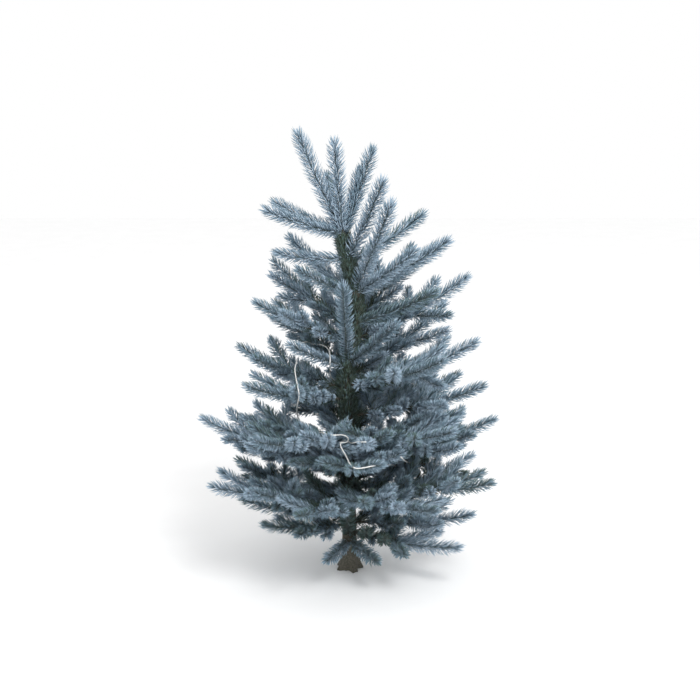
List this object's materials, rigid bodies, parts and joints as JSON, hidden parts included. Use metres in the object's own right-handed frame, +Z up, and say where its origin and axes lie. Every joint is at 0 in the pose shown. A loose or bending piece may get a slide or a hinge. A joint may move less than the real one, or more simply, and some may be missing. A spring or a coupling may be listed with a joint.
{
  "type": "blue noble fir",
  "caption": "Young fir tree rooted at ground level: tapering trunk, tiers of near-level boughs that fork into flat fans of silvery blue needle brushes, and upright leading shoots.",
  "frame": {"origin": "middle of the flat cut under the trunk, at ground level", "axes": "+Z up along the trunk; -Y towards the viewer of the picture, so +X is the picture's right"},
  "size_m": [0.7579, 0.6717, 1.1394],
  "materials": {
    "bark": "rough grey-brown bark",
    "needles": "silvery blue waxy needles"
  },
  "bodies": {
    "root": {"crown_back_left_needles": "needles", "crown_back_needles": "needles", "crown_front_high_needles": "needles", "crown_front_left_needles": "needles", "crown_left_needles": "needles", "crown_right_back_needles": "needles", "crown_right_needles": "needles", "deep_back_bough": "bark", "deep_back_needles": "needles", "deep_front_bough": "bark", "deep_front_left_bough": "bark", "deep_front_left_needles": "needles", "deep_front_needles": "needles", "deep_front_right_bough": "bark", "deep_front_right_needles": "needles", "deep_left_back_bough": "bark", "deep_left_back_needles": "needles", "deep_left_bough": "bark", "deep_left_needles": "needles", "deep_right_back_bough": "bark", "deep_right_back_needles": "needles", "foot_whorl_needles": "needles", "front_whorl_needles": "needles", "leaders": "needles", "low_back_bough": "bark", "low_back_needles": "needles", "low_front_bough": "bark", "low_front_left_bough": "bark", "low_front_left_needles": "needles", "low_front_needles": "needles", "low_front_right_bough": "bark", "low_front_right_needles": "needles", "low_left_bough": "bark", "low_left_needles": "needles", "low_right_back_bough": "bark", "low_right_back_needles": "needles", "low_right_bough": "bark", "low_right_needles": "needles", "middle_back_needles": "needles", "middle_front_left_needles": "needles", "middle_front_right_needles": "needles", "middle_left_back_needles": "needles", "middle_left_needles": "needles", "middle_right_back_needles": "needles", "middle_right_low_needles": "needles", "middle_right_needles": "needles", "skirt_back_left_needles": "needles", "skirt_back_right_needles": "needles", "skirt_front_left_needles": "needles", "skirt_front_right_needles": "needles", "skirt_left_needles": "needles", "skirt_right_needles": "needles", "trunk": "bark", "upper_back_needles": "needles", "upper_left_back_needles": "needles", "upper_left_needles": "needles", "upper_right_back_needles": "needles", "upper_right_front_needles": "needles", "upper_right_needles": "needles"}
  },
  "joints": []
}
